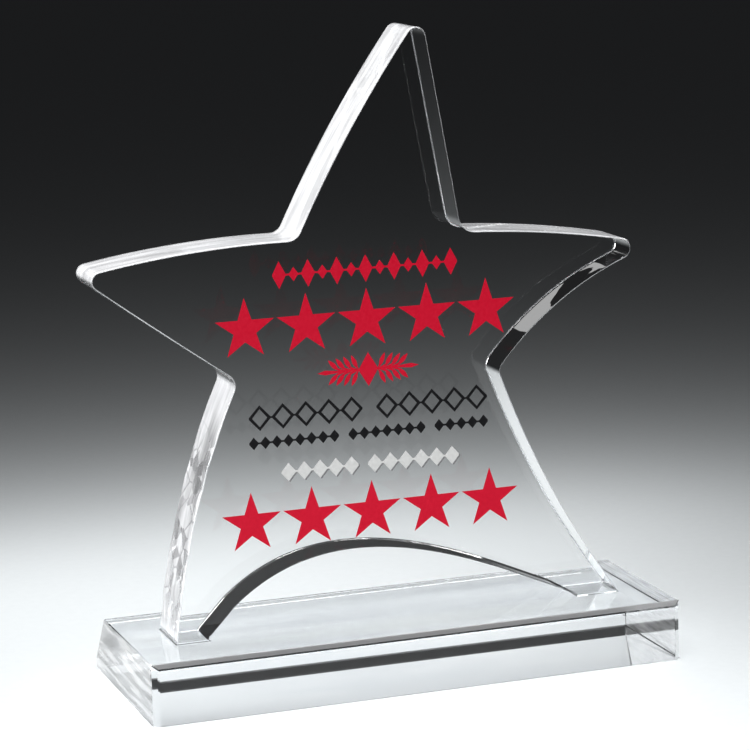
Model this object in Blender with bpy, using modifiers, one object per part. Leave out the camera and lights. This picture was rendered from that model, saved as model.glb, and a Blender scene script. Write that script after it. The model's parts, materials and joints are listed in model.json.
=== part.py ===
"""Clear acrylic star award.

A thick five-pointed star plate stands on a bevelled slab and is bonded to it under its two feet.
Printed decoration lies on the plate's front face: two rows of stars, a laurel and rows of lozenges.

Metres, +Z up. X runs along the slab, the printed front faces -Y, and the origin is the middle of
the slab's underside.
"""
import math

import bmesh
import bpy
from mathutils import Vector

MM = 0.001
NAME = "star_award"
GAP = 0.3 * MM                      # clearance kept between neighbouring solids
ARRIS = 0.3 * MM                    # polished edge break on the cut acrylic
NEAR = 0.1 * MM                     # slack when an edge or a corner is found by its place

# Slab: a long bevel runs down its back and leaves a low lip at the bottom
BASE_WIDTH = 180 * MM
BASE_DEPTH = 73 * MM                # across the underside
BASE_HEIGHT = 20 * MM
TOP_DEPTH = 60 * MM                 # from the front face to the top's back edge
REAR_LIP = 3.3 * MM
FRONT_CHAMFER = 1.5 * MM
UPRIGHT_CHAMFER = 2.0 * MM          # on the slab's two front upright edges

# Star plate, centred on the slab's top from front to back
PLATE_THICKNESS = 20 * MM
PLATE_Y = -BASE_DEPTH / 2 + TOP_DEPTH / 2
BOND_THICKNESS = 0.3 * MM
FOOT_LIFT = BOND_THICKNESS + 2 * GAP    # from the slab's top to the feet
CURVE_STEPS = 14                        # straight pieces in each curved stretch

# Corners of the star, clockwise from the apex, in millimetres along X and above the slab's top:
# (x, height, corner radius, bulge of the side that leaves the corner, outward positive)
FOOT = FOOT_LIFT / MM
RIGHT_FOOT = (61.5, 76.0)
LEFT_FOOT = (-76.3, -65.5)
STAR_CORNERS = (
    (11.5, 196.0, 3.5, 0.0),
    (23.5, 125.0, 5.5, 1.7),
    (92.0, 116.0, 3.1, -5.4),
    (35.2, 79.0, 4.0, -3.1),
    (RIGHT_FOOT[1], FOOT, 0.0, 0.0),
    (RIGHT_FOOT[0], FOOT, 0.0, 0.0),
    (LEFT_FOOT[1], FOOT, 0.0, 0.0),
    (LEFT_FOOT[0], FOOT, 0.0, 3.8),
    (-53.0, 83.0, 4.0, 0.3),
    (-103.0, 120.0, 3.2, 1.9),
    (-32.2, 126.4, 4.5, 2.1),
)
ARCH_START = 5                      # the corner where the arch between the feet begins
ARCH_PULL = ((-25.9, 10.0), (39.2, 48.3))   # its pull at the right foot and at the left foot

# Printed layers on the plate's front face
INK_THICKNESS = 0.3 * MM
PRINT_X = -9.5 * MM                 # common centre line of the decoration
STARS_IN_ROW = 5
STAR_RADIUS = 10.25 * MM
STAR_PITCH = 20.3 * MM
PENTAGRAM_RATIO = math.sin(math.radians(18)) / math.sin(math.radians(54))
UPPER_ROW_HEIGHT = 119.3 * MM       # heights above the floor of each row's centre
LOWER_ROW_HEIGHT = 56.7 * MM
NECK = 0.6 * MM                     # of the lines that join lozenges and leaves

FRIEZE_HEIGHT = 135.8 * MM
FRIEZE_BEADS = 13
FRIEZE_PITCH = 4.8 * MM
FRIEZE_SIZES = ((4.4 * MM, 8.9 * MM), (2.9 * MM, 4.6 * MM))

LAUREL_HEIGHT = 103.2 * MM
LAUREL_CENTRE = (6.4 * MM, 11.0 * MM)
LAUREL_PAIRS = 4
LAUREL_START = 3.6 * MM             # from the centre to the first pair of leaves
LAUREL_STEP = 2.1 * MM
LEAF_LENGTH = 5.2 * MM
LEAF_WIDTH = 1.5 * MM
LEAF_STEPS = 6
LEAF_ANGLE = math.radians(66)
LEAF_FOLD = 0.1                     # share of the angle that each further pair folds down by

# Lines of lozenges: how many in each group, their pitch, the extra space between groups, their
# (width, height), the share of each that is open, and the line's height above the floor
HEADLINE = {"groups": (5, 5), "pitch": 7.7 * MM, "space": 4.2 * MM, "size": (7.2 * MM, 8.3 * MM),
            "opening": 0.7, "height": 90.7 * MM}
SUBLINE = {"groups": (8, 7, 5), "pitch": 3.85 * MM, "space": 2.4 * MM,
           "size": (3.0 * MM, 4.1 * MM), "opening": 0, "height": 82.6 * MM}
NAME_LINE = {"groups": (5, 6), "pitch": 5.3 * MM, "space": 2.6 * MM, "size": (4.7 * MM, 6.0 * MM),
             "opening": 0, "height": 72.4 * MM}

ACRYLIC = ((0.93, 0.95, 0.96, 1), 0.03, 0.0)     # colour, roughness, metallic
CURED_BOND = ((0.88, 0.90, 0.92, 1), 0.10, 0.0)
RED_INK = ((0.578, 0.005, 0.026, 1), 0.38, 0.0)
BLACK_INK = ((0.006, 0.006, 0.007, 1), 0.40, 0.0)
SILVER_INK = ((0.70, 0.70, 0.69, 1), 0.45, 0.3)


def clear_scene():
    for obj in list(bpy.data.objects):
        bpy.data.objects.remove(obj, do_unlink=True)


def part_collection():
    collection = bpy.data.collections.new(NAME)
    bpy.context.scene.collection.children.link(collection)
    return collection


def give_material(obj, look):
    colour, roughness, metallic = look
    material = bpy.data.materials.new(obj.name)
    material.use_nodes = True
    shader = material.node_tree.nodes["Principled BSDF"]
    shader.inputs["Base Color"].default_value = colour
    shader.inputs["Roughness"].default_value = roughness
    shader.inputs["Metallic"].default_value = metallic
    obj.data.materials.clear()
    obj.data.materials.append(material)


def flat_curve(name, thickness):
    """An empty 2D curve that is filled and given its thickness."""
    curve = bpy.data.curves.new(name, "CURVE")
    curve.dimensions = "2D"
    curve.fill_mode = "BOTH"
    curve.extrude = thickness / 2
    return curve


def add_outline(curve, points):
    """A closed outline of straight sides."""
    spline = curve.splines.new("POLY")
    spline.points.add(len(points) - 1)
    for point, (x, z) in zip(spline.points, points):
        point.co = (x, z, 0, 1)
    spline.use_cyclic_u = True


def to_closed_mesh(obj):
    """Swap a curve object for a mesh object whose caps are welded on."""
    evaluated = obj.evaluated_get(bpy.context.evaluated_depsgraph_get())
    mesh = bpy.data.meshes.new_from_object(evaluated)
    name = obj.name
    solid = bpy.data.objects.new(name, mesh)
    solid.matrix_world = obj.matrix_world.copy()
    for collection in obj.users_collection:
        collection.objects.link(solid)
    bpy.data.objects.remove(obj, do_unlink=True)
    solid.name = name
    work = bmesh.new()
    work.from_mesh(mesh)
    bmesh.ops.remove_doubles(work, verts=work.verts, dist=0.00001)
    work.to_mesh(mesh)
    work.free()
    return solid


def break_edges(obj):
    bevel = obj.modifiers.new("arris", "BEVEL")
    bevel.width = ARRIS
    bevel.segments = 1
    bevel.use_clamp_overlap = False         # the outline's short steps would clamp it to nothing
    bevel.limit_method = "ANGLE"
    bevel.angle_limit = math.radians(35)


# The slab

def base_profile():
    """The slab seen from its end: (depth, height) corners."""
    front, back = -BASE_DEPTH / 2, BASE_DEPTH / 2
    return (
        (front, 0),
        (back, 0),
        (back, REAR_LIP),
        (front + TOP_DEPTH, BASE_HEIGHT),
        (front + FRONT_CHAMFER, BASE_HEIGHT),
        (front, BASE_HEIGHT - FRONT_CHAMFER),
    )


def front_uprights(work):
    """The two upright edges at the slab's front corners; its length still runs along local Z."""
    found = []
    for edge in work.edges:
        low, high = (vert.co for vert in edge.verts)
        at_front = max(low.x, high.x) < -BASE_DEPTH / 2 + NEAR
        at_end = min(abs(low.z), abs(high.z)) > BASE_WIDTH / 2 - NEAR
        if at_front and at_end and low.z * high.z > 0:
            found.append(edge)
    return found


def make_base(collection):
    curve = flat_curve("base_block", BASE_WIDTH)
    add_outline(curve, base_profile())
    obj = bpy.data.objects.new("base_block", curve)
    collection.objects.link(obj)
    obj.rotation_euler = (math.pi / 2, 0, math.pi / 2)
    bpy.context.view_layer.update()
    base = to_closed_mesh(obj)
    work = bmesh.new()
    work.from_mesh(base.data)
    edges = front_uprights(work)
    bmesh.ops.bevel(work, geom=edges, offset=UPRIGHT_CHAMFER, segments=1, affect="EDGES")
    work.to_mesh(base.data)
    work.free()
    break_edges(base)
    give_material(base, ACRYLIC)


# The star plate

def turned(vector, angle):
    cos, sin = math.cos(angle), math.sin(angle)
    return Vector((vector.x * cos - vector.y * sin, vector.x * sin + vector.y * cos))


class Side:
    """One side of the outline: a straight line, or an arc that bulges to the left of its run."""

    def __init__(self, start, end, bulge):
        self.start, self.end = Vector(start), Vector(end)
        chord = self.end - self.start
        self.half_angle = 2 * math.atan(2 * bulge / chord.length)
        self.direction = chord.normalized()
        if self.half_angle:
            self.radius = chord.length / (2 * math.sin(self.half_angle))
            self.length = 2 * self.radius * self.half_angle
        else:
            self.length = chord.length

    def heading(self, distance):
        """Direction of travel at a distance along the side."""
        return turned(self.direction, self.half_angle * (1 - 2 * distance / self.length))

    def point(self, distance):
        if not self.half_angle:
            return self.start + self.direction * distance
        swept = distance / self.radius
        chord = 2 * self.radius * math.sin(swept / 2)
        return self.start + turned(self.heading(0), -swept / 2) * chord

    def handle(self, distance):
        """Bezier handle length for a stretch of the side."""
        if not self.half_angle:
            return distance / 3
        return 4 / 3 * self.radius * math.tan(distance / self.radius / 4)


def trim_at(radius, before, after):
    """How far a corner's rounding reaches along the sides that meet there."""
    turn = before.heading(before.length).angle(after.heading(0))
    return radius * math.tan(turn / 2)


def rounded_knots(corners):
    """Bezier knots (left handle, point, right handle) of an outline with rounded corners."""
    count = len(corners)
    sides = []
    for index, (x, z, radius, bulge) in enumerate(corners):
        following = corners[(index + 1) % count]
        sides.append(Side((x, z), following[:2], bulge))
    trims = [trim_at(corners[i][2], sides[i - 1], sides[i]) for i in range(count)]
    knots = []
    for index in range(count):
        before, after, trim = sides[index - 1], sides[index], trims[index]
        arrive, leave = before.length - trim, trim
        stretch_before = before.handle(arrive - trims[index - 1])
        stretch_after = after.handle(after.length - trims[(index + 1) % count] - leave)
        entry, entry_heading = before.point(arrive), before.heading(arrive)
        departure, exit_heading = after.point(leave), after.heading(leave)
        if not trim:
            knots.append((entry - entry_heading * stretch_before, entry,
                          entry + exit_heading * stretch_after))
            continue
        turn = entry_heading.angle(exit_heading)
        round_handle = 4 / 3 * corners[index][2] * math.tan(turn / 4)
        knots.append((entry - entry_heading * stretch_before, entry,
                      entry + entry_heading * round_handle))
        knots.append((departure - exit_heading * round_handle, departure,
                      departure + exit_heading * stretch_after))
    return knots


def with_arch(knots, start_corner, end_corner):
    """Pull the side between the feet up into the arch."""
    arched = []
    for left, point, right in knots:
        if (point - Vector(start_corner[:2])).length < NEAR / MM:
            right = point + Vector(ARCH_PULL[0])
        if (point - Vector(end_corner[:2])).length < NEAR / MM:
            left = point + Vector(ARCH_PULL[1])
        arched.append((left, point, right))
    return arched


def make_star_plate(collection):
    knots = rounded_knots(STAR_CORNERS)
    knots = with_arch(knots, STAR_CORNERS[ARCH_START], STAR_CORNERS[ARCH_START + 1])
    curve = flat_curve("star_plate", PLATE_THICKNESS)
    curve.resolution_u = CURVE_STEPS
    spline = curve.splines.new("BEZIER")
    spline.bezier_points.add(len(knots) - 1)
    for knot, (left, point, right) in zip(spline.bezier_points, knots):
        knot.handle_left_type = knot.handle_right_type = "FREE"
        knot.co = (*point * MM, 0)
        knot.handle_left = (*left * MM, 0)
        knot.handle_right = (*right * MM, 0)
    spline.use_cyclic_u = True
    plate = bpy.data.objects.new("star_plate", curve)
    collection.objects.link(plate)
    plate.rotation_euler = (math.pi / 2, 0, 0)
    plate.location = (0, PLATE_Y, BASE_HEIGHT)
    weld = plate.modifiers.new("weld_caps", "WELD")
    weld.merge_threshold = 0.00001
    break_edges(plate)
    give_material(plate, ACRYLIC)


# Bond films under the feet

def make_bond(collection, name, foot):
    left, right = (edge * MM for edge in foot)
    bpy.ops.mesh.primitive_cube_add(size=1)
    film = bpy.context.object
    film.name = name
    for old in list(film.users_collection):
        old.objects.unlink(film)
    collection.objects.link(film)
    size = Vector((right - left - 2 * GAP, PLATE_THICKNESS - 2 * GAP, BOND_THICKNESS))
    for vert in film.data.vertices:
        vert.co *= size
    film.location = ((left + right) / 2, PLATE_Y, BASE_HEIGHT + GAP + BOND_THICKNESS / 2)
    give_material(film, CURED_BOND)


# Printed decoration

def place_print(collection, name, curve, height, look, x=PRINT_X):
    """Stand a flat curve on the plate's front face."""
    obj = bpy.data.objects.new(name, curve)
    collection.objects.link(obj)
    front = PLATE_Y - PLATE_THICKNESS / 2
    obj.rotation_euler = (math.pi / 2, 0, 0)
    obj.location = (x, front - GAP - INK_THICKNESS / 2, height)
    give_material(obj, look)


def star_outline(radius):
    points = []
    for step in range(10):
        reach = radius if step % 2 == 0 else radius * PENTAGRAM_RATIO
        angle = math.pi / 2 + step * math.pi / 5
        points.append((reach * math.cos(angle), reach * math.sin(angle)))
    return points


def lozenge_outline(x, width, height):
    return [(x - width / 2, 0), (x, -height / 2), (x + width / 2, 0), (x, height / 2)]


def closed_below(upper):
    """Close an outline whose lower edge mirrors its upper edge."""
    return upper + [(x, -z) for x, z in reversed(upper) if z > 0]


def strung_outline(beads):
    """Lozenges in a row, joined point to point by a narrow neck: (x, width, height) of each."""
    upper = []
    for x, width, height in beads:
        upper += [(x - width / 2, NECK / 2), (x, height / 2), (x + width / 2, NECK / 2)]
    return closed_below(upper)


def spaced(count, pitch):
    return [(index - (count - 1) / 2) * pitch for index in range(count)]


def make_star_row(collection, label, height):
    for index, offset in enumerate(spaced(STARS_IN_ROW, STAR_PITCH)):
        name = f"{label}_star_{index + 1}"
        curve = flat_curve(name, INK_THICKNESS)
        add_outline(curve, star_outline(STAR_RADIUS))
        place_print(collection, name, curve, height, RED_INK, PRINT_X + offset)


def make_frieze(collection):
    """Tall and short lozenges in turn, above the upper stars."""
    beads = []
    for index, x in enumerate(spaced(FRIEZE_BEADS, FRIEZE_PITCH)):
        beads.append((x, *FRIEZE_SIZES[index % 2]))
    curve = flat_curve("frieze_print", INK_THICKNESS)
    add_outline(curve, strung_outline(beads))
    place_print(collection, "frieze_print", curve, FRIEZE_HEIGHT, RED_INK)


def leaf_points(x, angle):
    """The edge of a pointed leaf, out from the stem at x and back to it."""
    points = []
    for side in (1, -1):
        for step in range(1, LEAF_STEPS + 1):
            along = step / LEAF_STEPS
            if side < 0:
                along = 1 - along
            off = side * math.sin(math.pi * along) * LEAF_WIDTH / 2
            point = turned(Vector((along * LEAF_LENGTH, off)), angle)
            points.append((x + point.x, NECK / 2 + point.y))
    return points


def make_laurel(collection):
    """A lozenge between two laid-down laurel sprays."""
    centre_width, centre_height = LAUREL_CENTRE
    right = [(0, centre_height / 2), (centre_width / 2, NECK / 2)]
    for pair in range(LAUREL_PAIRS):
        x = LAUREL_START + pair * LAUREL_STEP
        right += leaf_points(x, LEAF_ANGLE * (1 - LEAF_FOLD * pair))
    end = LAUREL_START + LAUREL_PAIRS * LAUREL_STEP
    right += [(end + LEAF_LENGTH / 2, LEAF_WIDTH / 2), (end + LEAF_LENGTH, 0)]
    left = [(-x, z) for x, z in reversed(right[1:])]
    curve = flat_curve("laurel_print", INK_THICKNESS)
    add_outline(curve, closed_below(left + right))
    place_print(collection, "laurel_print", curve, LAUREL_HEIGHT, RED_INK)


def make_lozenge_line(collection, label, line, look):
    """A line of strung lozenges in separate groups, each group one printed piece."""
    width, height = line["size"]
    pitch, space = line["pitch"], line["space"]
    groups = line["groups"]
    total = (sum(groups) - 1) * pitch + (len(groups) - 1) * space
    start = -total / 2
    for index, count in enumerate(groups):
        name = f"{label}_print_{index + 1}"
        curve = flat_curve(name, INK_THICKNESS)
        middle = (count - 1) / 2 * pitch
        places = spaced(count, pitch)
        add_outline(curve, strung_outline([(x, width, height) for x in places]))
        for x in places if line["opening"] else ():
            add_outline(curve, lozenge_outline(x, width * line["opening"], height * line["opening"]))
        place_print(collection, name, curve, line["height"], look, PRINT_X + start + middle)
        start += count * pitch + space


def main():
    clear_scene()
    collection = part_collection()
    make_base(collection)
    make_star_plate(collection)
    make_bond(collection, "left_foot_bond", LEFT_FOOT)
    make_bond(collection, "right_foot_bond", RIGHT_FOOT)
    make_star_row(collection, "upper", UPPER_ROW_HEIGHT)
    make_star_row(collection, "lower", LOWER_ROW_HEIGHT)
    make_frieze(collection)
    make_laurel(collection)
    make_lozenge_line(collection, "headline", HEADLINE, BLACK_INK)
    make_lozenge_line(collection, "subline", SUBLINE, BLACK_INK)
    make_lozenge_line(collection, "name", NAME_LINE, SILVER_INK)


main()
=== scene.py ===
"""Visual scene of the clear acrylic star award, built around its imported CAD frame.

Metres, +Z up, in the frame's own axes: the printed front faces -Y and the slab stands on Z = 0.
"""
import json
import math

import bmesh
import bpy
from mathutils import Matrix, Vector, noise


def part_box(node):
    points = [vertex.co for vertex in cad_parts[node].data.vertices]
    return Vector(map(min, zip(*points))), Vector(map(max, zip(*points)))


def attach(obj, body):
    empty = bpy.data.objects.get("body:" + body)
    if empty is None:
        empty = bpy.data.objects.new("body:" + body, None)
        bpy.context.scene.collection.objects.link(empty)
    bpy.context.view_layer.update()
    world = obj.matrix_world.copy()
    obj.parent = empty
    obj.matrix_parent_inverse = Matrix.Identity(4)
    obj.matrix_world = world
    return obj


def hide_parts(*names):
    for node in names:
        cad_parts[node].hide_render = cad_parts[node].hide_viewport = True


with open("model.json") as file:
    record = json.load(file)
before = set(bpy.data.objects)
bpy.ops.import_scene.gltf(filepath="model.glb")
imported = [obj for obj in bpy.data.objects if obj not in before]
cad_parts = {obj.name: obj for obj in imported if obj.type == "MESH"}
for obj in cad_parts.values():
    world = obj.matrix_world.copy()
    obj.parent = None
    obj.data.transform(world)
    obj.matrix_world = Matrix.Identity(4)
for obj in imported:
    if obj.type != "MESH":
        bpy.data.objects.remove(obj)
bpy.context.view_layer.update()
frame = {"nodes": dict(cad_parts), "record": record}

MM = 0.001
BODY = "root"

# Camera: where it stands, how it is turned, and its lens
CAMERA_AT = Vector((-0.3168, -0.9108, 0.2857))
CAMERA_YAW = math.radians(19.09)        # towards +X from +Y
CAMERA_PITCH = math.radians(11.04)      # below the horizon
CAMERA_ROLL = math.radians(-1.61)
CAMERA_LENS = 144.9
SENSOR_WIDTH = 36

# Star plate
ACRYLIC_IOR = 1.49
STEP = 1.0 * MM                         # spacing of points round the outline
WALL_ROWS = 14                          # rows of faces from the plate's front to its back
ARRIS = 0.36 * MM                       # rounding where a wall meets a face
WELD = 0.02 * MM                        # closer points of the CAD outline are one
FLAT_TURN = math.radians(0.05)          # points that turn less lie on a straight run
CORNER_TURN = math.radians(25)          # a sharper turn of the outline is kept as a corner
SOLE_GAP = 0.01 * MM                    # between the feet's soles and the slab's highest point
FOOT_BAND = 0.2 * MM                    # outline points this close to the lowest one are the sole
RIPPLE = 0.030 * MM                     # depth of the flame-polished ripple on every wall
RIPPLE_LENGTH = 9.0 * MM
RIPPLE_DRAW = 0.8                       # how fast the ripple changes through the plate's thickness
ARRIS_STEP = 0.3                        # share of the rounding at which its middle row of points lies
SPACING_JUMP = 0.9                      # neighbouring runs that differ more in length are straight
SOLE_SLACK = 0.01 * MM                  # outline points this close to the sole are on it
TOUCH = 0.001 * MM                      # slack when a point or face is found by its place

# Haze and facets of the plate's walls, held as mesh attributes from 0 to 1
HAZE = "haze"
FACET = "facet"
HAZY_SIDE = Vector((-0.45, 0.89))       # walls that face this way, in X and Z, are hazy
HAZE_FROM = 0.12                        # least agreement with that side that gives any haze
HAZE_RANGE = 0.40                       # further agreement that gives all of it
ARRIS_HAZE = 0.85                       # the thin white line along the plate's edges
ARCH_TOP = 0.25                         # the arch lies below this share of the plate's height
FACING_DOWN = -0.3                      # upright part of the outward direction of a wall under it
LEG_WIDTH = 0.30                        # the left leg lies within this share of the plate's width
LEG_TOP = 0.38                          # and of its height
LEG_FADE_LOW = 0.06                     # shares of the height over which the leg's look fades
LEG_FADE_HIGH = 0.08
LEG_CLEARNESS = 0.12                    # how much of the haze the left leg loses
LEG_RIPPLE = 0.50 * MM                  # depth of the facets on the left leg's outer wall
LEG_FACET = 10.0 * MM                   # their usual size
TIP_FACET = 0.30                        # strength of the facets near the spike's tip
TIP_FROM = 0.84                         # share of the height at which they start
TIP_FADE = 0.08                         # and over which they reach their strength

# Printed films
FILM_THICKNESS = 0.05 * MM
FILM_LIFT = 0.01 * MM
SHADOW_SHIFT = (0.45 * MM, -0.35 * MM)  # the pale lines' grey shade, along X and Z

# Adhesive bead round each foot
BEAD = 0.45 * MM
BEAD_PROFILE = ((-0.1, 1.0), (0.25, 0.3), (1.0, 0.0), (-0.1, -0.02))  # reach and height, in beads


def new_collection(name):
    collection = bpy.data.collections.new(name)
    bpy.context.scene.collection.children.link(collection)
    return collection


clear_pieces = new_collection("clear_pieces")
printed_pieces = new_collection("printed_pieces")
shading_pieces = new_collection("shading_pieces")
stage = new_collection("stage")


# Materials

CELL_SMOOTHNESS = 0.12
MASK_EDGE = 0.01                        # how softly a mask by direction starts


class Nodes:
    """A material's node tree, with short ways to add and join nodes."""

    def __init__(self, name):
        self.material = bpy.data.materials.new(name)
        self.material.use_nodes = True
        self.tree = self.material.node_tree
        self.shader = self.tree.nodes["Principled BSDF"]

    def add(self, kind, **values):
        node = self.tree.nodes.new(kind)
        for key, value in values.items():
            setattr(node, key, value)
        return node

    def join(self, source, target):
        self.tree.links.new(source, target)

    def set(self, **values):
        for key, value in values.items():
            self.shader.inputs[key.replace("_", " ")].default_value = value

    def noise(self, scale, stretch=(1, 1, 1), detail=3.0):
        """Noise over object coordinates, with its pattern stretched by a factor along each axis."""
        place = self.add("ShaderNodeTexCoord")
        mapping = self.add("ShaderNodeMapping")
        mapping.inputs["Scale"].default_value = [scale / factor for factor in stretch]
        texture = self.add("ShaderNodeTexNoise")
        texture.inputs["Scale"].default_value = 1.0
        texture.inputs["Detail"].default_value = detail
        self.join(place.outputs["Object"], mapping.inputs["Vector"])
        self.join(mapping.outputs["Vector"], texture.inputs["Vector"])
        return texture.outputs["Fac"]

    def voronoi(self, scale, **values):
        """A pattern of cells over object coordinates."""
        place = self.add("ShaderNodeTexCoord")
        texture = self.add("ShaderNodeTexVoronoi", **values)
        texture.inputs["Scale"].default_value = scale
        self.join(place.outputs["Object"], texture.inputs["Vector"])
        return texture

    def cells(self, scale):
        """Distance from the middle of rounded cells."""
        texture = self.voronoi(scale, feature="SMOOTH_F1")
        texture.inputs["Smoothness"].default_value = CELL_SMOOTHNESS
        return texture.outputs["Distance"]

    def cell_lines(self, scale):
        """Distance from the borders between cells."""
        return self.voronoi(scale, feature="DISTANCE_TO_EDGE").outputs["Distance"]

    def cell_shades(self, scale):
        """A random grey for each cell."""
        return self.voronoi(scale).outputs["Color"]

    def ramp(self, source, low, high, start=0.0, end=1.0):
        """Map a value from low..high to start..end."""
        node = self.add("ShaderNodeMapRange")
        node.inputs["From Min"].default_value = low
        node.inputs["From Max"].default_value = high
        node.inputs["To Min"].default_value = start
        node.inputs["To Max"].default_value = end
        self.join(source, node.inputs["Value"])
        return node.outputs["Result"]

    def product(self, first, second):
        node = self.add("ShaderNodeMath", operation="MULTIPLY")
        self.join(first, node.inputs[0])
        self.join(second, node.inputs[1])
        return node.outputs[0]

    def larger(self, first, second):
        node = self.add("ShaderNodeMath", operation="MAXIMUM")
        self.join(first, node.inputs[0])
        self.join(second, node.inputs[1])
        return node.outputs[0]

    def facing(self, axis, least):
        """1 where the surface faces along an axis, either way, and 0 elsewhere."""
        geometry = self.add("ShaderNodeNewGeometry")
        along = self.add("ShaderNodeVectorMath", operation="DOT_PRODUCT")
        along.inputs[1].default_value = axis
        self.join(geometry.outputs["True Normal"], along.inputs[0])
        size = self.add("ShaderNodeMath", operation="ABSOLUTE")
        self.join(along.outputs["Value"], size.inputs[0])
        return self.ramp(size.outputs[0], least - MASK_EDGE, least)

    def colours(self, source, first, second):
        node = self.add("ShaderNodeMix", data_type="RGBA")
        node.inputs["A"].default_value = (*first, 1)
        node.inputs["B"].default_value = (*second, 1)
        self.join(source, node.inputs["Factor"])
        self.join(node.outputs["Result"], self.shader.inputs["Base Color"])

    def bump(self, source, distance, strength=1.0, after=None):
        node = self.add("ShaderNodeBump")
        node.inputs["Strength"].default_value = strength
        node.inputs["Distance"].default_value = distance
        self.join(source, node.inputs["Height"])
        if after:
            self.join(after, node.inputs["Normal"])
        self.join(node.outputs["Normal"], self.shader.inputs["Normal"])
        return node.outputs["Normal"]


# Densities are in cells or ripples per metre. A band is the stretch of a noise value that matters.
CLEAR_TINT = (0.985, 0.99, 0.99)
SMUDGE_DENSITY = 55
SMUDGE_BAND = (0.45, 0.8)
SMUDGE_ROUGHNESS = 0.02
PEEL_DENSITY = 60                       # the orange peel of a cast sheet
PEEL_DEPTH = 0.004 * MM


def clear_acrylic(name):
    """Polished cast acrylic: the flat faces, with the faint orange peel of a cast sheet."""
    nodes = Nodes(name)
    nodes.set(Transmission_Weight=1.0, IOR=ACRYLIC_IOR, Base_Color=(*CLEAR_TINT, 1))
    smudge = nodes.noise(SMUDGE_DENSITY, detail=4)
    nodes.join(nodes.ramp(smudge, *SMUDGE_BAND, 0.0, SMUDGE_ROUGHNESS), nodes.shader.inputs["Roughness"])
    nodes.bump(nodes.noise(PEEL_DENSITY, detail=1), PEEL_DEPTH)
    return nodes.material


BUBBLE_DENSITY = 700
BUBBLE_BAND = (0.66, 0.72)
GLUE_TINT = (0.985, 0.987, 0.99)
BUBBLE_TINT = (0.90, 0.905, 0.91)


def bonded_face(name):
    """A glued sole: light passes through it as if there were no surface."""
    nodes = Nodes(name)
    nodes.set(Transmission_Weight=1.0, IOR=1.0, Roughness=0.0, Specular_IOR_Level=0.0)
    bubbles = nodes.noise(BUBBLE_DENSITY, detail=2)
    nodes.colours(nodes.ramp(bubbles, *BUBBLE_BAND), GLUE_TINT, BUBBLE_TINT)
    return nodes.material


WALL_TINT = (0.95, 0.955, 0.975)
STREAK_DENSITY = 240
STREAK_STRETCH = (6, 0.9, 6)            # streaks run along the outline
STREAK_BAND = (0.34, 0.62)
STREAK_HAZE = (0.84, 0.50)              # share of the haze outside a streak and in it
WALL_ROUGHNESS = 0.16                   # where a wall is fully hazy
SHADE_DENSITY = 190                     # patches of clearer facets
SHADE_BAND = (0.2, 0.8)
SHADE_CLEARING = 0.55
FACET_DENSITY = 115                     # facets about 9 mm across
FACET_LINE = 0.06                       # reach of the clear line from the border of two facets, in cells
LINE_CLEARING = 0.5
FACET_DEPTH = 1.7 * MM
FACET_STRENGTH = 0.8
CUTTER_DENSITY = 900                    # cutter marks, drawn out through the thickness
CUTTER_STRETCH = (1, 40, 1)
CUTTER_DEPTH = 0.0012 * MM
WAVE_DENSITY = 150                      # slower waves of the flame polish
WAVE_STRETCH = (1, 2, 1)
WAVE_DEPTH = 0.008 * MM


def polished_wall(name):
    """A cut wall: clear where it was flame-polished, hazy and streaked where the mesh says so."""
    nodes = Nodes(name)
    nodes.set(IOR=ACRYLIC_IOR, Base_Color=(*WALL_TINT, 1))
    haze = nodes.add("ShaderNodeAttribute", attribute_name=HAZE)
    facet = nodes.add("ShaderNodeAttribute", attribute_name=FACET)
    streaks = nodes.noise(STREAK_DENSITY, stretch=STREAK_STRETCH, detail=4)
    scatter = nodes.product(haze.outputs["Fac"], nodes.ramp(streaks, *STREAK_BAND, *STREAK_HAZE))
    shades = nodes.ramp(nodes.cell_shades(SHADE_DENSITY), *SHADE_BAND, SHADE_CLEARING, 0.0)
    lines = nodes.ramp(nodes.cell_lines(FACET_DENSITY), 0.0, FACET_LINE, LINE_CLEARING, 0.0)
    clearing = nodes.product(facet.outputs["Fac"], nodes.larger(shades, lines))
    scatter = nodes.product(scatter, nodes.ramp(clearing, 0, 1, 1, 0))
    nodes.join(nodes.ramp(scatter, 0, 1, 1, 0), nodes.shader.inputs["Transmission Weight"])
    nodes.join(nodes.ramp(scatter, 0, 1, 0.0, WALL_ROUGHNESS), nodes.shader.inputs["Roughness"])
    cutter = nodes.bump(nodes.noise(CUTTER_DENSITY, stretch=CUTTER_STRETCH, detail=1), CUTTER_DEPTH)
    waves = nodes.bump(nodes.noise(WAVE_DENSITY, stretch=WAVE_STRETCH, detail=1), WAVE_DEPTH,
                       after=cutter)
    facets = nodes.product(facet.outputs["Fac"], nodes.cells(FACET_DENSITY))
    nodes.bump(facets, FACET_DEPTH, strength=FACET_STRENGTH, after=waves)
    return nodes.material


END_AXIS = (1, 0, 0)
END_LEAST = 0.93                        # least agreement with the axis of a face at an end
CHAMFER_AXIS = (0, -0.7071, 0.7071)
CHAMFER_LEAST = 0.98
SAW_DENSITY = 520
SAW_STRETCH = (1, 14, 1)                # saw lines run from front to back
SAW_BAND = (0.35, 0.65)
SAW_HAZE = (0.15, 0.50)
SAW_DEPTH = 0.02 * MM
CHAMFER_HAZE = 0.30
SLAB_ROUGHNESS = 0.12                   # where the slab is fully hazy
BAND_DENSITY = 75                       # faint lengthwise bands in the slab
BAND_STRETCH = (9, 1, 1)
BAND_RANGE = (0.35, 0.65)
BAND_TINTS = ((0.82, 0.83, 0.85), (0.985, 0.988, 0.99))
SAG_DENSITY = 40                        # slow unevenness of the polished faces
SAG_STRETCH = (5, 1, 1)
SAG_DEPTH = 0.012 * MM


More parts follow.
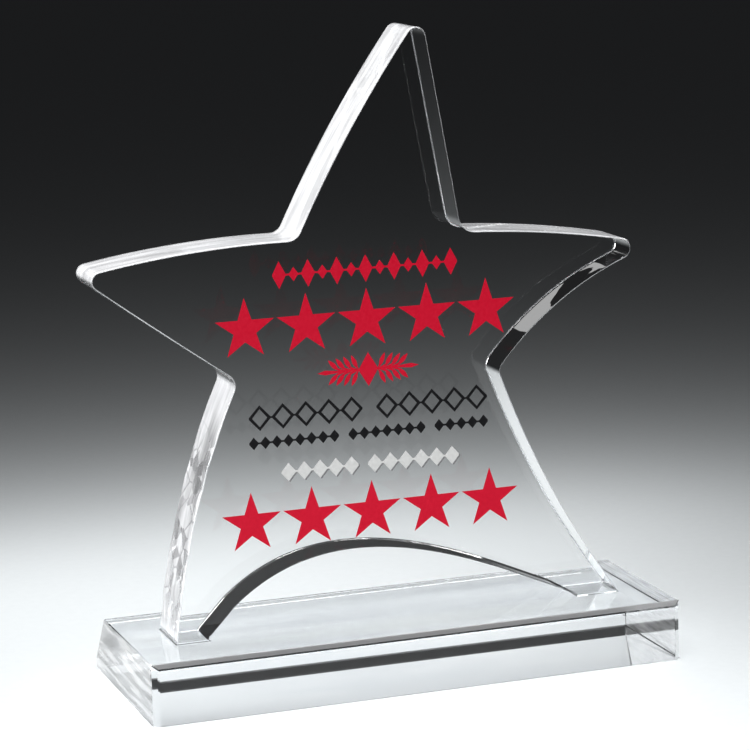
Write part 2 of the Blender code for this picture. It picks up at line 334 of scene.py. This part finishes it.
def slab_acrylic(name):
    """The slab: polished faces, saw lines along its two ends, and a sanded front chamfer."""
    nodes = Nodes(name)
    nodes.set(IOR=ACRYLIC_IOR)
    at_end = nodes.facing(END_AXIS, END_LEAST)
    at_chamfer = nodes.facing(CHAMFER_AXIS, CHAMFER_LEAST)
    lines = nodes.noise(SAW_DENSITY, stretch=SAW_STRETCH, detail=3)
    end_haze = nodes.product(at_end, nodes.ramp(lines, *SAW_BAND, *SAW_HAZE))
    haze = nodes.larger(end_haze, nodes.ramp(at_chamfer, 0, 1, 0, CHAMFER_HAZE))
    nodes.join(nodes.ramp(haze, 0, 1, 1, 0), nodes.shader.inputs["Transmission Weight"])
    nodes.join(nodes.ramp(haze, 0, 1, 0.0, SLAB_ROUGHNESS), nodes.shader.inputs["Roughness"])
    bands = nodes.noise(BAND_DENSITY, stretch=BAND_STRETCH, detail=3)
    nodes.colours(nodes.ramp(bands, *BAND_RANGE), *BAND_TINTS)
    saw = nodes.bump(nodes.product(lines, at_end), SAW_DEPTH)
    nodes.bump(nodes.noise(SAG_DENSITY, stretch=SAG_STRETCH, detail=2), SAG_DEPTH, after=saw)
    return nodes.material


MOTTLE_DENSITY = 900
MOTTLE_BAND = (0.35, 0.7)
SHEEN_BAND = (0.3, 0.7)
SHEEN_SPREAD = (-0.06, 0.08)            # how far the mottle moves the roughness
INK_SPECULAR = 0.12
INK_GRAIN_DENSITY = 2200
INK_GRAIN_DEPTH = 0.004 * MM


def ink(name, colour, lighter, roughness):
    """A printed film with fine mottle and a satin face."""
    nodes = Nodes(name)
    mottle = nodes.noise(MOTTLE_DENSITY, detail=4)
    nodes.colours(nodes.ramp(mottle, *MOTTLE_BAND), colour, lighter)
    smoothest, roughest = (roughness + change for change in SHEEN_SPREAD)
    nodes.join(nodes.ramp(mottle, *SHEEN_BAND, smoothest, roughest), nodes.shader.inputs["Roughness"])
    nodes.set(Specular_IOR_Level=INK_SPECULAR)
    nodes.bump(nodes.noise(INK_GRAIN_DENSITY, detail=2), INK_GRAIN_DEPTH)
    return nodes.material


PAPER_DENSITY = 300
PAPER_BAND = (0.3, 0.7)
PAPER_TINTS = ((0.765, 0.80, 0.815), (0.785, 0.82, 0.835))


def floor_paper(name):
    """Matt white studio paper."""
    nodes = Nodes(name)
    grain = nodes.noise(PAPER_DENSITY, detail=3)
    nodes.colours(nodes.ramp(grain, *PAPER_BAND), *PAPER_TINTS)
    nodes.set(Roughness=0.55, Specular_IOR_Level=0.15)
    return nodes.material


FACE = clear_acrylic("clear_face")
WALL = polished_wall("polished_wall")
SLAB = slab_acrylic("slab_acrylic")
BEAD_FILM = clear_acrylic("cured_bead")
BONDED = bonded_face("bonded_face")
RED = ink("red_ink", (0.560, 0.004, 0.024), (0.600, 0.007, 0.030), 0.42)
BLACK = ink("black_ink", (0.004, 0.004, 0.005), (0.009, 0.009, 0.010), 0.45)
SILVER = ink("silver_ink", (0.60, 0.60, 0.59), (0.68, 0.68, 0.67), 0.45)
SHADE = ink("shade_ink", (0.17, 0.17, 0.175), (0.22, 0.22, 0.225), 0.55)


# Places in the plate's list of materials
WALL_LOOK = 1
SOLE_LOOK = 2


# Star plate, from the CAD plate's own outline

def front_and_back(node):
    low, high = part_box(node)
    return low[1], high[1]


def ring_of(node):
    """The outline of a plate half-way through its thickness, in order, as (x, z)."""
    work = bmesh.new()
    work.from_mesh(frame["nodes"][node].data)
    bmesh.ops.remove_doubles(work, verts=work.verts, dist=WELD)
    middle = sum(front_and_back(node)) / 2
    everything = work.verts[:] + work.edges[:] + work.faces[:]
    cut = bmesh.ops.bisect_plane(work, geom=everything, plane_co=(0, middle, 0), plane_no=(0, 1, 0))
    links = {}
    for edge in (part for part in cut["geom_cut"] if isinstance(part, bmesh.types.BMEdge)):
        first, second = edge.verts
        links.setdefault(first, []).append(second)
        links.setdefault(second, []).append(first)
    start = next(iter(links))
    ring, before, here = [start], None, start
    for _ in range(len(links)):
        before, here = here, next(vert for vert in links[here] if vert is not before)
        if here is start:
            break
        ring.append(here)
    points = [Vector((vert.co.x, vert.co.z)) for vert in ring]
    work.free()
    return [point for index, point in enumerate(points) if turn_at(points, index) > FLAT_TURN]


def counter_clockwise(ring):
    area = sum(a.x * b.y - b.x * a.y for a, b in zip(ring, ring[1:] + ring[:1]))
    return ring if area > 0 else ring[::-1]


def with_feet_down(ring, sole):
    """Carry the soles of the feet down to a given height."""
    lowest = min(point.y for point in ring)
    return [Vector((p.x, sole)) if p.y < lowest + FOOT_BAND else p for p in ring]


def turn_at(ring, index):
    before = ring[index] - ring[index - 1]
    after = ring[(index + 1) % len(ring)] - ring[index]
    return before.angle(after, 0)


def curve_point(a, b, c, d, t):
    """Catmull-Rom point between b and c."""
    return 0.5 * (2 * b + (c - a) * t + (2 * a - 5 * b + 4 * c - d) * t ** 2
                  + (3 * b - a - 3 * c + d) * t ** 3)


def resampled(ring):
    """The outline with a point about every STEP, smooth between its corners."""
    count = len(ring)
    corner = [turn_at(ring, index) > CORNER_TURN for index in range(count)]
    fine, fine_corner = [], []
    for index in range(count):
        b, c = ring[index], ring[(index + 1) % count]
        a = b - (c - b) if corner[index] else ring[index - 1]
        d = c + (c - b) if corner[(index + 1) % count] else ring[(index + 2) % count]
        straight = abs((c - b).length - (b - a).length) > (c - b).length * SPACING_JUMP
        pieces = max(1, round((c - b).length / STEP))
        for piece in range(pieces):
            t = piece / pieces
            fine.append(b.lerp(c, t) if straight else curve_point(a, b, c, d, t))
            fine_corner.append(corner[index] and piece == 0)
    return fine, fine_corner


def outward(ring, index):
    along = (ring[(index + 1) % len(ring)] - ring[index - 1]).normalized()
    return Vector((along.y, -along.x))


def within_one(value):
    return max(0.0, min(1.0, value))


def on_left_leg(point, normal, leg_side, lowest, highest):
    """0 to 1: how far a point belongs to the left leg's outer wall."""
    if point.x > leg_side or normal.x > 0:
        return 0.0
    rise = (point.y - lowest) / (highest - lowest)
    return within_one(rise / LEG_FADE_LOW) * within_one((LEG_TOP - rise) / LEG_FADE_HIGH)


def faceting(point, normal, leg, highest):
    """How strongly a wall is faceted: on the left leg, and on the spike's left wall near its tip."""
    tip = within_one((point.y / highest - TIP_FROM) / TIP_FADE) if normal.x < 0 else 0.0
    return max(leg, TIP_FACET * tip)


def haze_at(normal, leg):
    """Haze of a wall, from the way it faces."""
    amount = (normal.dot(HAZY_SIDE) - HAZE_FROM) / HAZE_RANGE
    return within_one(amount) * (1 - LEG_CLEARNESS * leg)


def ripple(point, depth, leg):
    """How far the wall dips below its true outline here."""
    place = Vector((point.x, depth * RIPPLE_DRAW, point.y))
    dip = RIPPLE * (0.5 + 0.5 * noise.noise(place / RIPPLE_LENGTH))
    if leg:
        dip += LEG_RIPPLE * leg * noise.voronoi(place / LEG_FACET)[0][0]
    return dip


def add_piece(collection, name, work, materials, slot, *nodes):
    mesh = bpy.data.meshes.new(name)
    work.to_mesh(mesh)
    work.free()
    piece = bpy.data.objects.new(name, mesh)
    collection.objects.link(piece)
    for material in materials:
        mesh.materials.append(material)
    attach(piece, BODY)
    if nodes:
        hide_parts(*nodes)
    return piece


def make_star_plate():
    front, back = front_and_back("star_plate")
    ring = counter_clockwise(ring_of("star_plate"))
    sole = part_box("base_block")[1][2] + SOLE_GAP
    ring, corners = resampled(with_feet_down(ring, sole))
    lowest, highest = min(p.y for p in ring), max(p.y for p in ring)
    leftmost, rightmost = min(p.x for p in ring), max(p.x for p in ring)
    leg_side = leftmost + (rightmost - leftmost) * LEG_WIDTH
    step = ARRIS * ARRIS_STEP
    rows = [(front, ARRIS), (front + step, step), (front + ARRIS, 0.0)]
    inner = back - front - 2 * ARRIS
    rows += [(front + ARRIS + inner * row / WALL_ROWS, 0.0) for row in range(1, WALL_ROWS)]
    rows += [(back - ARRIS, 0.0), (back - step, step), (back, ARRIS)]
    work = bmesh.new()
    haze = work.verts.layers.float.new(HAZE)
    facet = work.verts.layers.float.new(FACET)
    grid = []
    for depth, inset in rows:
        line = []
        for index, point in enumerate(ring):
            normal = outward(ring, index)
            leg = on_left_leg(point, normal, leg_side, lowest, highest)
            moved = point - normal * (inset + ripple(point, depth, leg))
            if point.y < sole + SOLE_SLACK:
                moved = Vector((moved.x, sole))
            vert = work.verts.new((moved.x, depth, moved.y))
            under_arch = normal.y < FACING_DOWN and point.y < highest * ARCH_TOP
            edge_haze = ARRIS_HAZE if inset and not under_arch else 0.0
            vert[haze] = max(haze_at(normal, leg), edge_haze)
            vert[facet] = faceting(point, normal, leg, highest)
            line.append(vert)
        grid.append(line)
    count = len(ring)
    for upper, lower in zip(grid, grid[1:]):
        for index in range(count):
            following = (index + 1) % count
            face = work.faces.new((upper[index], upper[following], lower[following], lower[index]))
            on_sole = max(vert.co.z for vert in face.verts) < sole + TOUCH
            face.smooth = not on_sole
            face.material_index = SOLE_LOOK if on_sole else WALL_LOOK
    work.faces.new(grid[0])
    work.faces.new(grid[-1])
    bmesh.ops.recalc_face_normals(work, faces=work.faces)
    for line in grid:
        for index, vert in enumerate(line):
            for edge in vert.link_edges:
                if corners[index] and edge.other_vert(vert).co.y != vert.co.y:
                    edge.smooth = False
    add_piece(clear_pieces, "star_plate_clear", work, (FACE, WALL, BONDED), "clear_acrylic",
              "star_plate")


# Adhesive bead round each foot

def foot_print(side):
    """Where a foot stands on the slab: (left, right, front, back)."""
    low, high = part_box(f"{side}_foot_bond")
    front, back = front_and_back("star_plate")
    margin = low[1] - front
    return low[0] - margin, high[0] + margin, front, back


def make_bead(side):
    node = f"{side}_foot_bond"
    left, right, front, back = foot_print(side)
    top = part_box("base_block")[1][2]
    profile = [(reach * BEAD, height * BEAD) for reach, height in BEAD_PROFILE]
    work = bmesh.new()
    rings = []
    for reach, height in profile:
        corners = ((left - reach, front - reach), (right + reach, front - reach),
                   (right + reach, back + reach), (left - reach, back + reach))
        rings.append([work.verts.new((x, y, top + height)) for x, y in corners])
    for index, ring in enumerate(rings):
        following = rings[(index + 1) % len(rings)]
        for corner in range(4):
            after = (corner + 1) % 4
            work.faces.new((ring[corner], ring[after], following[after], following[corner]))
    bmesh.ops.recalc_face_normals(work, faces=work.faces)
    add_piece(clear_pieces, f"{side}_foot_bead", work, (BEAD_FILM,), "clear_bond", node)


# Printed films

def film_from(node, name, material, slot, lift, shift=(0, 0), replace=True):
    """A CAD print, thinned to a film that lies on the plate's front face."""
    low, high = front_and_back(node)
    plate_front = front_and_back("star_plate")[0]
    work = bmesh.new()
    work.from_mesh(frame["nodes"][node].data)
    bmesh.ops.remove_doubles(work, verts=work.verts, dist=TOUCH)
    for vert in work.verts:
        outer = (high - vert.co.y) / (high - low)
        vert.co.y = plate_front - lift - outer * FILM_THICKNESS
        vert.co.x += shift[0]
        vert.co.z += shift[1]
    nodes = (node,) if replace else ()
    add_piece(printed_pieces, name, work, (material,), slot, *nodes)


def make_prints():
    for subpart in frame["record"]["subparts"]:
        node, slot = subpart["node"], subpart["material_slot"]
        if slot == "red_ink":
            film_from(node, f"{node}_film", RED, slot, FILM_LIFT)
        if slot == "black_ink":
            film_from(node, f"{node}_film", BLACK, slot, FILM_LIFT)
        if slot == "silver_ink":
            film_from(node, f"{node}_shade", SHADE, slot, FILM_LIFT, SHADOW_SHIFT, False)
            film_from(node, f"{node}_film", SILVER, slot, FILM_LIFT * 2 + FILM_THICKNESS)


# Slab, from the CAD slab's own mesh

def make_slab():
    work = bmesh.new()
    work.from_mesh(frame["nodes"]["base_block"].data)
    bmesh.ops.remove_doubles(work, verts=work.verts, dist=TOUCH)
    slab = add_piece(clear_pieces, "base_block_clear", work, (SLAB,), "clear_acrylic", "base_block")
    shading_pieces.objects.link(slab)


# Stage and light

FLOOR_SIZE = 40.0
FLOOR_CELLS = 8
FLOOR_DROP = 0.3 * MM                   # below the slab, so that the two surfaces don't touch
POOL_AT = (-0.05, -0.13, 0.33)          # lights the middle of the floor
POOL_SIZE = (0.08, 0.08)
POOL_POWER = 1.84
SHADED_SHARE = 0.30                     # of the pool, cast so that the slab shades the floor under it
SHADED_SIZE = (0.24, 0.24)              # larger, so that this shade is soft
STRIP_AT = (-0.12, 0.16, 0.14)          # lifts the floor just behind the award
STRIP_SIZE = (0.60, 0.10)
STRIP_POWER = 0.36
WORLD = (0.0128, 0.0128, 0.0134)        # faint light from all round
MIDDLE = (0, 0, 0.1)                    # of the award
RIGHT_ARM = (0.03, 0, 0.14)             # under the star's right arm


def make_floor():
    work = bmesh.new()
    bmesh.ops.create_grid(work, x_segments=FLOOR_CELLS, y_segments=FLOOR_CELLS, size=FLOOR_SIZE / 2)
    mesh = bpy.data.meshes.new("floor")
    work.to_mesh(mesh)
    work.free()
    floor = bpy.data.objects.new("floor", mesh)
    floor.location.z = -FLOOR_DROP
    stage.objects.link(floor)
    mesh.materials.append(floor_paper("floor_paper"))


def add_light(name, place, target, size, power, receivers, blockers=None):
    """A soft area light that lights only one collection, and is shaded only by one where asked."""
    light = bpy.data.lights.new(name, "AREA")
    light.shape = "RECTANGLE"
    light.size, light.size_y = size
    light.energy = power
    lamp = bpy.data.objects.new(name, light)
    bpy.context.scene.collection.objects.link(lamp)
    lamp.location = place
    lamp.rotation_euler = (Vector(target) - Vector(place)).to_track_quat("-Z", "Y").to_euler()
    lamp.light_linking.receiver_collection = receivers
    if blockers:
        lamp.light_linking.blocker_collection = blockers
    lamp.visible_camera = False
    return lamp


def add_softbox(name, place, target, size, radiance, receivers):
    """An area light whose face has a given radiance."""
    power = radiance * size[0] * size[1] * math.pi
    return add_light(name, place, target, size, power, receivers)


def keep_out_of_clear_pieces(lamp):
    """Keep a light from being seen in, or through, the clear pieces."""
    lamp.visible_glossy = False
    lamp.visible_transmission = False


def make_lights():
    open_power, shaded_power = POOL_POWER * (1 - SHADED_SHARE), POOL_POWER * SHADED_SHARE
    for name, place, size, power, blockers in (
            ("floor_pool", POOL_AT, POOL_SIZE, open_power, stage),
            ("floor_pool_shaded", POOL_AT, SHADED_SIZE, shaded_power, shading_pieces),
            ("floor_strip", STRIP_AT, STRIP_SIZE, STRIP_POWER, stage)):
        below = (place[0], place[1], 0)
        keep_out_of_clear_pieces(add_light(name, place, below, size, power, stage, blockers))
    add_softbox("softbox_left", (-1.15, 0.45, 0.45), MIDDLE,
                size=(1.1, 1.0), radiance=7.0, receivers=clear_pieces)
    add_softbox("softbox_top", (0, 0.05, 1.25), MIDDLE,
                size=(1.2, 0.9), radiance=6.6, receivers=clear_pieces)
    add_softbox("card_behind", (0.04, 1.49, 0.735), RIGHT_ARM,
                size=(0.50, 0.12), radiance=0.40, receivers=clear_pieces)
    low_front = add_softbox("low_front", (-0.9, -0.9, 0.08), MIDDLE,
                            size=(0.6, 0.12), radiance=14.0, receivers=clear_pieces)
    keep_out_of_clear_pieces(low_front)
    add_softbox("print_front", (-0.5, -1.6, 0.8), MIDDLE,
                size=(0.9, 0.7), radiance=12.0, receivers=printed_pieces)
    add_softbox("print_back", (0.4, 1.6, 0.7), MIDDLE,
                size=(0.9, 0.7), radiance=2.5, receivers=printed_pieces)


def make_world():
    world = bpy.data.worlds.new("dark_studio")
    bpy.context.scene.world = world
    world.use_nodes = True
    world.node_tree.nodes["Background"].inputs["Color"].default_value = (*WORLD, 1)


def make_camera():
    sin, cos = math.sin, math.cos
    ahead = Vector((sin(CAMERA_YAW) * cos(CAMERA_PITCH), cos(CAMERA_YAW) * cos(CAMERA_PITCH),
                    -sin(CAMERA_PITCH)))
    level = Vector((cos(CAMERA_YAW), -sin(CAMERA_YAW), 0))
    above = level.cross(ahead)
    right = cos(CAMERA_ROLL) * level + sin(CAMERA_ROLL) * above
    upward = -sin(CAMERA_ROLL) * level + cos(CAMERA_ROLL) * above
    camera = bpy.data.objects.new("camera", bpy.data.cameras.new("camera"))
    camera.data.lens = CAMERA_LENS
    camera.data.sensor_width = SENSOR_WIDTH
    turned = Matrix((right, upward, -ahead)).transposed()
    camera.matrix_world = Matrix.Translation(CAMERA_AT) @ turned.to_4x4()
    bpy.context.scene.collection.objects.link(camera)
    bpy.context.scene.camera = camera


make_camera()
make_star_plate()
make_bead("left")
make_bead("right")
make_prints()
make_slab()
make_floor()
make_lights()
make_world()
bpy.context.scene.view_settings.view_transform = "Standard"
